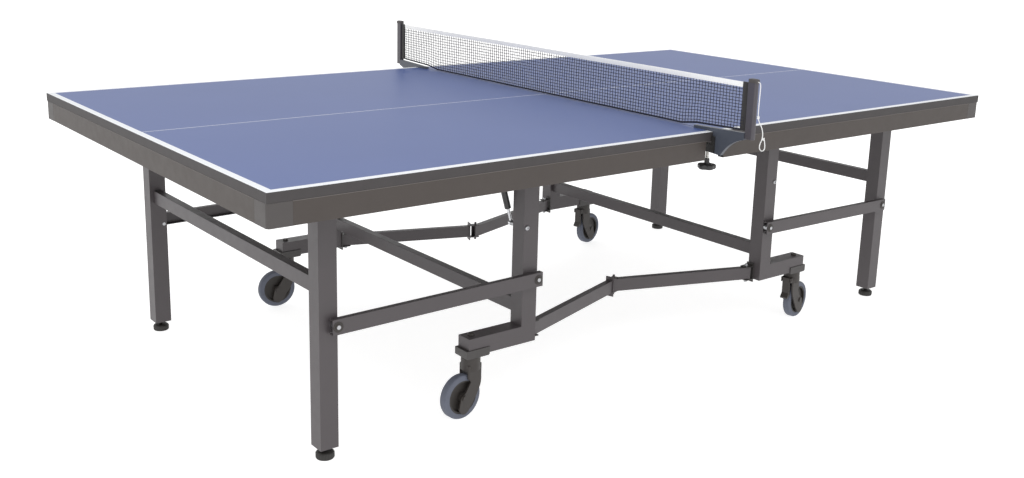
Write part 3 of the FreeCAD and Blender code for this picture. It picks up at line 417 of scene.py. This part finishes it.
def knot(name, middle, size):
    """An overhand knot pulled tight: a three-lobed line that passes over and under itself."""
    points = []
    steps = 18
    for step in range(steps):
        turn = 2 * math.pi * step / steps
        points.append((
            middle[0] + size * 0.55 * math.sin(3 * turn),
            middle[1] + size * (math.sin(turn) + 2 * math.sin(2 * turn)) / 3,
            middle[2] + size * (math.cos(turn) - 2 * math.cos(2 * turn)) / 3,
        ))
    return smooth_line(name, points, CORD_DIAMETER * 0.9, closed=True)


def make_cord():
    cord = smooth_line("cord", CORD_ROUTE, CORD_DIAMETER)
    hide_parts("tension_cord")
    loop_knot = knot("loop_knot", (-0.002, -0.935, 0.767), 0.0034)
    post_knot = knot("post_knot", (-0.003, -0.9125, 0.822), 0.0038)


make_cord()


# ---------------------------------------------------------------- pins and bolts

LEG_INNER, LEG_OUTER = 0.520, 0.570
FOLD_PIVOT = (0.488, 0.719)
END_FOLD_PIVOT = (1.109, 0.712)
LINK_PIVOT = (0.488, 0.363)
END_LINK_PIVOT = (1.109, 0.356)
STRUT_PIVOT = (0.517, 0.510)
KING_PIVOT = (0.680, 0.545)
TOGGLE_PIVOT = (0.455, 0.530)


def button_head(radius, height, base):
    """Rings of a domed bolt head with a hexagon socket, seated at base and rising from it."""
    socket = polygon(radius * 0.5, 6)
    return [
        (circle(radius), base),
        (circle(radius), base + height * 0.30),
        (circle(radius * 0.94), base + height * 0.58),
        (circle(radius * 0.80), base + height * 0.84),
        (circle(radius * 0.60), base + height),
        (socket, base + height),
        (socket, base + height * 0.35),
    ]


def both_heads(low, high, shank, radius, height):
    """Rings of a pin from the head at its low end to the head at its high end."""
    head = button_head(radius, height, 0)
    low_head = [(outline, low - up) for outline, up in reversed(head)]
    high_head = button_head(radius, height, high)
    return [*low_head, (circle(shank), low), (circle(shank), high), *high_head]


def fold_pin(made, pivot, side, turn):
    """The pin through the top of a leg, from its inner ear to its outer ear."""
    x, z = pivot
    place = turn @ across_y(x, 0, z, side)
    inner_ear, outer_ear = 0.516, 0.574
    rings = both_heads(inner_ear, outer_ear, shank=0.005, radius=0.009, height=0.004)
    turned(made, rings, place)


def link_pin(made, pivot, side, turn):
    """The bolt that carries a link bar, with the spacer tube behind the bar."""
    x, z = pivot
    place = turn @ across_y(x, 0, z, side)
    shank, spacer_end = circle(0.005), 0.588
    spacer = [(circle(0.0105), LEG_OUTER), (circle(0.011), LEG_OUTER + 0.0008)]
    spacer += [(circle(0.011), 0.5872), (circle(0.0105), spacer_end)]
    rings = [(shank, LEG_INNER), (shank, LEG_OUTER), *spacer]
    rings += [(shank, spacer_end), (circle(0.0055), 0.5922), (circle(0.0055), 0.5945)]
    turned(made, [*rings, (circle(0.0042), 0.5955)], place)


def link_washer(made, pivot, side, turn):
    """The dark washer and lock ring round the bright end of a link bolt."""
    x, z = pivot
    place = turn @ across_y(x, 0, z, side)
    washer = [(circle(0.0137), 0.5912), (circle(0.0137), 0.5919), (circle(0.0131), 0.5924)]
    lock_ring = [(circle(0.0088), 0.5924), (circle(0.0085), 0.5936), (circle(0.0070), 0.5941)]
    turned(made, [*washer, *lock_ring], place, steps=32)


def strut_pin(made, side, turn):
    """The bolt that carries the lower eye of a gas strut on the inner face of a leg."""
    x, z = STRUT_PIVOT
    place = turn @ across_y(x, 0, z, side)
    shank, eye_inner, eye_outer = circle(0.004), 0.4945, 0.5055
    head = button_head(0.007, 0.003, 0)
    inner_head = [(outline, eye_inner - up) for outline, up in reversed(head)]
    collar = [(circle(0.0065), eye_outer), (circle(0.007), 0.5062), (circle(0.007), LEG_INNER)]
    rings = [*inner_head, (shank, eye_inner), (shank, eye_outer), *collar]
    rings += [(shank, LEG_INNER), (shank, LEG_OUTER), *button_head(0.007, 0.004, LEG_OUTER)]
    turned(made, rings, place)


def king_pin(made, side, turn):
    """The hexagon-headed bolt on which a caster swivels."""
    x, y = KING_PIVOT
    place = turn @ Matrix.Translation((x, side * y, 0))
    low_end, arm_top, head = 0.150, 0.228, 0.006
    hexagon, chamfer = polygon(0.009, 6), polygon(0.0082, 6)
    rings = [(circle(0.006), low_end), (circle(0.006), arm_top), (circle(0.009), arm_top)]
    rings += [(circle(0.009), arm_top + 0.001), (hexagon, arm_top + 0.0012)]
    rings += [(hexagon, arm_top + head - 0.001), (chamfer, arm_top + head)]
    turned(made, rings, place)


def toggle_pin(made, side, turn):
    """The rivet in a stay's end bracket, with its ends peened over."""
    x, y = TOGGLE_PIVOT
    level = 0.200
    place = turn @ Matrix.Translation((x, side * y, level))
    end, seat, head = 0.032, 0.0238, 0.0055
    low = [(circle(0.003), -end), (circle(head), -end + 0.002), (circle(head), -seat)]
    high = [(outline, -height) for outline, height in reversed(low)]
    turned(made, [*low, (circle(0.004), -seat), (circle(0.004), seat), *high], place)


def make_pins():
    steel, dark = MATERIALS["bolt_steel"], MATERIALS["caster_plastic"]
    for half, turn in HALF_TURNS.items():
        under, under_dark = bmesh.new(), bmesh.new()
        end, end_dark = bmesh.new(), bmesh.new()
        for side in SIDES.values():
            fold_pin(under, FOLD_PIVOT, side, turn)
            link_pin(under, LINK_PIVOT, side, turn)
            strut_pin(under, side, turn)
            toggle_pin(under, side, turn)
            king_pin(under_dark, side, turn)
            link_washer(under_dark, LINK_PIVOT, side, turn)
            fold_pin(end, END_FOLD_PIVOT, side, turn)
            link_pin(end, END_LINK_PIVOT, side, turn)
            link_washer(end_dark, END_LINK_PIVOT, side, turn)
        for body, bright_heads, dark_heads in (
            (f"{half}_undercarriage", under, under_dark),
            (f"{half}_end_frame", end, end_dark),
        ):
            name = f"{body}_pins"
            add_piece(f"{name}_detail", bright_heads, steel, body, [name])
            add_piece(f"{name}_washers", dark_heads, dark, body, [name])


make_pins()


# ---------------------------------------------------------------- levelling feet

FOOT_PLACE = (1.125, 0.545)

def fluted(radius, depth, count):
    """A round outline with that many shallow finger grooves."""
    return lambda angle: radius - depth * (0.5 - 0.5 * math.cos(count * angle)) ** 2


def screw_rings(radius, depth, pitch, low, high):
    """Rings of a threaded length, as stacked ridges of that pitch."""
    rings = []
    for number in range(round((high - low) / pitch)):
        base = low + number * pitch
        rings += [(circle(radius - depth), base), (circle(radius), base + pitch / 2)]
    return [*rings, (circle(radius - depth), high)]


def make_feet():
    radius, height = 0.024, 0.020
    thread_top, top = 0.0665, 0.068
    grips, groove = 20, 0.0016
    for half, turn in HALF_TURNS.items():
        for side_name, side in SIDES.items():
            # the halves are turned about Z, so the left half's near side is the described far side
            described = side if half == "right" else -side
            made = bmesh.new()
            place = turn @ Matrix.Translation((FOOT_PLACE[0], described * FOOT_PLACE[1], 0))
            rings = [
                (circle(radius - 0.005), 0),
                (circle(radius - 0.002), 0.0008),
                (circle(radius - 0.0004), 0.003),
                (fluted(radius, groove, grips), 0.0045),
                (fluted(radius, groove, grips), 0.0145),
                (circle(radius - 0.0015), 0.0165),
                (circle(radius - 0.005), height - 0.0008),
                (circle(radius - 0.009), height),
                (circle(0.006), height),
                *screw_rings(0.006, 0.0006, 0.0015, height + 0.0005, thread_top),
                (circle(0.005), top),
            ]
            turned(made, rings, place, steps=grips * 6)
            name = f"{half}_{side_name}_levelling_foot"
            body = f"{half}_{side_name}_foot"
            plastic = MATERIALS["foot_plastic"]
            add_piece(f"{name}_detail", made, plastic, body, [name])


make_feet()


# ---------------------------------------------------------------- clamp screws

SCREW_PLACE = (-0.009, 0.744)


def lobed(radius, depth, count):
    """A hand knob's outline: rounded lobes with a hollow between each two."""
    def outline(angle):
        hollow = 0.5 + 0.5 * math.cos(count * angle)
        return radius - depth * hollow ** 1.6
    return outline


def make_clamp_screws():
    knob_low, knob_top = 0.649, 0.664
    neck_top, spindle_top = 0.680, 0.7253
    radius, lobes = 0.027, 5
    pitch, ridges = 0.003, 15
    for side_name, side in SIDES.items():
        made = bmesh.new()
        place = Matrix.Translation((SCREW_PLACE[0], side * SCREW_PLACE[1], 0))
        depth = radius * 0.17
        knob = [
            (circle(radius * 0.5), knob_low),
            (lobed(radius * 0.86, depth * 0.8, lobes), knob_low + 0.0006),
            (lobed(radius * 0.97, depth, lobes), knob_low + 0.0026),
            (lobed(radius, depth, lobes), knob_low + 0.0052),
            (lobed(radius, depth, lobes), knob_top - 0.0046),
            (lobed(radius * 0.97, depth, lobes), knob_top - 0.0022),
            (lobed(radius * 0.86, depth * 0.8, lobes), knob_top - 0.0004),
            (circle(radius * 0.52), knob_top),
            (circle(0.0090), knob_top + 0.0012),
            (circle(0.0075), knob_top + 0.0030),
            (circle(0.0072), neck_top - 0.0010),
            (circle(0.0053), neck_top),
        ]
        turned(made, knob, place, steps=lobes * 16)
        thread = bmesh.new()
        rings = [(circle(0.003), neck_top - 0.004)]
        rings += screw_rings(0.005, 0.0007, pitch, neck_top - 0.003, neck_top + ridges * pitch)
        turned(thread, [*rings, (circle(0.0044), spindle_top)], place, steps=20)
        body, stands_for = f"{side_name}_screw", [f"{side_name}_clamp_screw"]
        name = f"{side_name}_clamp_knob_detail"
        add_piece(name, made, MATERIALS["knob_plastic"], body, stands_for)
        name = f"{side_name}_clamp_spindle_detail"
        add_piece(name, thread, SPINDLE_STEEL, body, stands_for)


make_clamp_screws()


# ---------------------------------------------------------------- net

NET_X = -0.003
NET_END = 0.876
NET_LOW, NET_TOP = 0.763, 0.9125
LEVEL_END, RISE_END = 0.630, 0.690
TAPE_DEPTH = 0.0145
BAND_WIDTH = 0.024
THREAD = 0.0025


def net_foot(y):
    """Where the net's lower edge is: it rises over the clamps at its two ends."""
    rise = [(0, NET_LOW), (LEVEL_END, NET_LOW), (RISE_END, 0.772), (NET_END, 0.779)]
    for (start, low), (end, high) in zip(rise, rise[1:]):
        if abs(y) <= end:
            return low + (high - low) * (abs(y) - start) / (end - start)
    return rise[-1][1]


def drift(y, z):
    """The small unevenness of stretched cord netting, across its plane."""
    return 0.0009 * math.sin(7.3 * y + 2.1) * math.sin(21 * z) + 0.0005 * math.sin(31 * y + 40 * z)


def make_net():
    """The netting: a grid of faces whose edges are turned into threads."""
    columns, rows = 150, 14
    made = bmesh.new()
    grid = []
    for column in range(columns + 1):
        y = (NET_END - BAND_WIDTH / 2) * (2 * column / columns - 1)
        foot, head = net_foot(y) + 0.002, NET_TOP - TAPE_DEPTH + 0.003
        line = []
        for row in range(rows + 1):
            z = foot + (head - foot) * row / rows
            slack = 0.0006 * math.sin(1.7 * column + 2.3 * row)
            line.append(made.verts.new((NET_X + drift(y, z), y + slack, z)))
        grid.append(line)
    for left, right in zip(grid, grid[1:]):
        for row in range(rows):
            made.faces.new((left[row], right[row], right[row + 1], left[row + 1]))
    cord = MATERIALS["net_mesh"]
    net = add_piece("net_mesh_detail", made, cord, "left_top", ["net"], sharp=60)
    threads = net.modifiers.new("threads", "WIREFRAME")
    threads.thickness = THREAD
    threads.use_even_offset = False
    threads.use_boundary = True
    return net


def swept(name, section, places, material, body):
    """A closed section in X and Z carried along Y; places gives (y, x shift, z shift)."""
    made = bmesh.new()
    loops = [[made.verts.new((x + dx, y, z + dz)) for x, z in section] for y, dx, dz in places]
    count = len(section)
    for near, far in zip(loops, loops[1:]):
        for one in range(count):
            other = (one + 1) % count
            made.faces.new((near[one], near[other], far[other], far[one]))
    made.faces.new(loops[0])
    made.faces.new(list(reversed(loops[-1])))
    return add_piece(name, made, material, body, sharp=50)


def make_tape():
    """The white tape folded over the top of the net."""
    fold = 0.0022
    top = NET_TOP - fold
    arch = [(fold * math.cos(a), top + fold * math.sin(a)) for a in (0.0, 0.6, 1.2, math.pi / 2)]
    arch += [(-x, z) for x, z in reversed(arch[:-1])]
    hem = NET_TOP - TAPE_DEPTH
    legs_out = [(-0.0013, hem), (0.0013, hem)]
    section = [(NET_X + x, z) for x, z in [*arch, *legs_out]]
    steps = 120
    end = NET_END - BAND_WIDTH
    places = []
    for step in range(steps + 1):
        y = end * (2 * step / steps - 1)
        places.append((y, 0.5 * drift(y, NET_TOP), 0.0004 * math.sin(9 * y)))
    return swept("net_tape_detail", section, places, TAPE, "left_top")


def make_foot_band():
    """The dark cord band along the net's foot."""
    half_thick, half_tall = 0.0011, 0.0028
    turns = [corner * math.pi / 4 for corner in range(8)]
    section = [(NET_X + half_thick * math.cos(a), half_tall * math.sin(a)) for a in turns]
    steps = 60
    stops = [-NET_END + BAND_WIDTH, -RISE_END, -LEVEL_END]
    stops += [-LEVEL_END + 2 * LEVEL_END * step / steps for step in range(1, steps)]
    stops += [LEVEL_END, RISE_END, NET_END - BAND_WIDTH]
    places = [(y, drift(y, NET_LOW), net_foot(y) + half_tall) for y in stops]
    cord = MATERIALS["net_mesh"]
    return swept("net_foot_band_detail", section, places, cord, "left_top")


def make_side_bands():
    """The dark sleeve at each end of the net, as far as the post's inner edge."""
    bands = []
    for side_name, side in SIDES.items():
        made = bmesh.new()
        rows, corners = 10, 12
        loops = []
        for row in range(rows + 1):
            z = net_foot(NET_END) + (NET_TOP + 0.0005 - net_foot(NET_END)) * row / rows
            bulge = 0.0018 + 0.0004 * math.sin(2.1 * row)
            ring = []
            for step in range(corners):
                turn = 2 * math.pi * step / corners
                x = NET_X + bulge * math.sin(turn)
                y = side * (NET_END - BAND_WIDTH / 2) + (BAND_WIDTH / 2) * math.cos(turn)
                ring.append(made.verts.new((x, y, z)))
            loops.append(ring)
        for lower, upper in zip(loops, loops[1:]):
            for one in range(corners):
                other = (one + 1) % corners
                made.faces.new((lower[one], lower[other], upper[other], upper[one]))
        made.faces.new(list(reversed(loops[0])))
        made.faces.new(loops[-1])
        name = f"net_{side_name}_band_detail"
        bands.append(add_piece(name, made, BAND_CLOTH, "left_top", sharp=50))
    return bands


def make_net_set():
    net = make_net()
    trims = [make_tape(), make_foot_band(), *make_side_bands()]


def make_post_caps():
    """The moulded cap on each net post, a little wider than the post."""
    half_x, half_y = 0.0088, 0.0142
    post_y = 0.8895
    made = bmesh.new()
    for side in SIDES.values():
        rings = [
            (rounded_box(half_x, half_y), 0.9140),
            (rounded_box(half_x, half_y), 0.9218),
            (rounded_box(half_x - 0.0012, half_y - 0.0012), 0.9237),
            (rounded_box(half_x - 0.0038, half_y - 0.0038), 0.9246),
        ]
        turned(made, rings, Matrix.Translation((NET_X, side * post_y, 0)), steps=40)
    add_piece("net_post_caps_detail", made, MATERIALS["cap_plastic"], "left_top")


make_net_set()
make_post_caps()


# ---------------------------------------------------------------- seam between board and rails, with a painted highlight


def make_seams():
    """The edge of the rails' upper flange, coloured lighter than the rails as a painted highlight,
    so that it shows as a fine lighter line under the board.
    """
    low, high = 0.7338, 0.7352
    half_length, half_width, start, corner = 1.370, 0.7625, 0.037, 0.060
    proud = 0.0005
    for half, turn in HALF_TURNS.items():
        made = bmesh.new()
        runs = [
            ((start, side * half_width - proud), (half_length - corner, side * half_width + proud))
            for side in SIDES.values()
        ]
        end_low = (half_length - proud, corner - half_width)
        end_high = (half_length + proud, half_width - corner)
        runs.append((end_low, end_high))
        for (x_low, y_low), (x_high, y_high) in runs:
            middle = ((x_low + x_high) / 2, (y_low + y_high) / 2, (low + high) / 2)
            spread = (x_high - x_low, y_high - y_low, high - low)
            place = turn @ Matrix.Translation(middle) @ Matrix.Diagonal((*spread, 1))
            bmesh.ops.create_cube(made, size=1, matrix=place)
        # the lighter paint is a painted highlight along the flange's edge
        add_piece(f"{half}_seam_detail", made, FLANGE_HIGHLIGHT_PAINT, f"{half}_top")


make_seams()


# ---------------------------------------------------------------- floor and light


def make_floor():
    """The studio floor, which glows a little so that it looks as white as the photo's ground."""
    made = bmesh.new()
    bmesh.ops.create_grid(made, x_segments=4, y_segments=4, size=40)
    data = bpy.data.meshes.new("floor")
    made.to_mesh(data)
    made.free()
    paint = Paint("floor")
    tone = paint.blend(paint.noise(0.7), srgb(186, 186, 186), srgb(192, 192, 192))
    glow = {"Emission_Color": (1, 1, 1, 1), "Emission_Strength": 0.80}
    data.materials.append(paint.finish(Base_Color=tone, Roughness=0.75, **glow))
    floor = bpy.data.objects.new("floor", data)
    bpy.context.scene.collection.objects.link(floor)


def make_light():
    """White surroundings and two soft lamps, from the near left and from the front."""
    scene = bpy.context.scene
    scene.view_settings.view_transform = "Standard"
    scene.world = bpy.data.worlds.new("studio")
    scene.world.use_nodes = True
    sky = scene.world.node_tree.nodes["Background"]
    sky.inputs["Color"].default_value = (1, 1, 1, 1)
    sky.inputs["Strength"].default_value = 0.96
    aim = Vector((0, 0, 0.5))
    for name, place, size, power in (
        ("key", (-3.2, -2.2, 3.4), 3.0, 40),
        ("fill", (-0.5, -4.2, 2.6), 3.5, 20),
    ):
        data = bpy.data.lights.new(name, "AREA")
        data.shape = "DISK"
        data.size = size
        data.energy = power
        lamp = bpy.data.objects.new(name, data)
        lamp.location = place
        lamp.rotation_euler = (aim - Vector(place)).to_track_quat("-Z", "Y").to_euler()
        scene.collection.objects.link(lamp)


make_floor()
make_light()
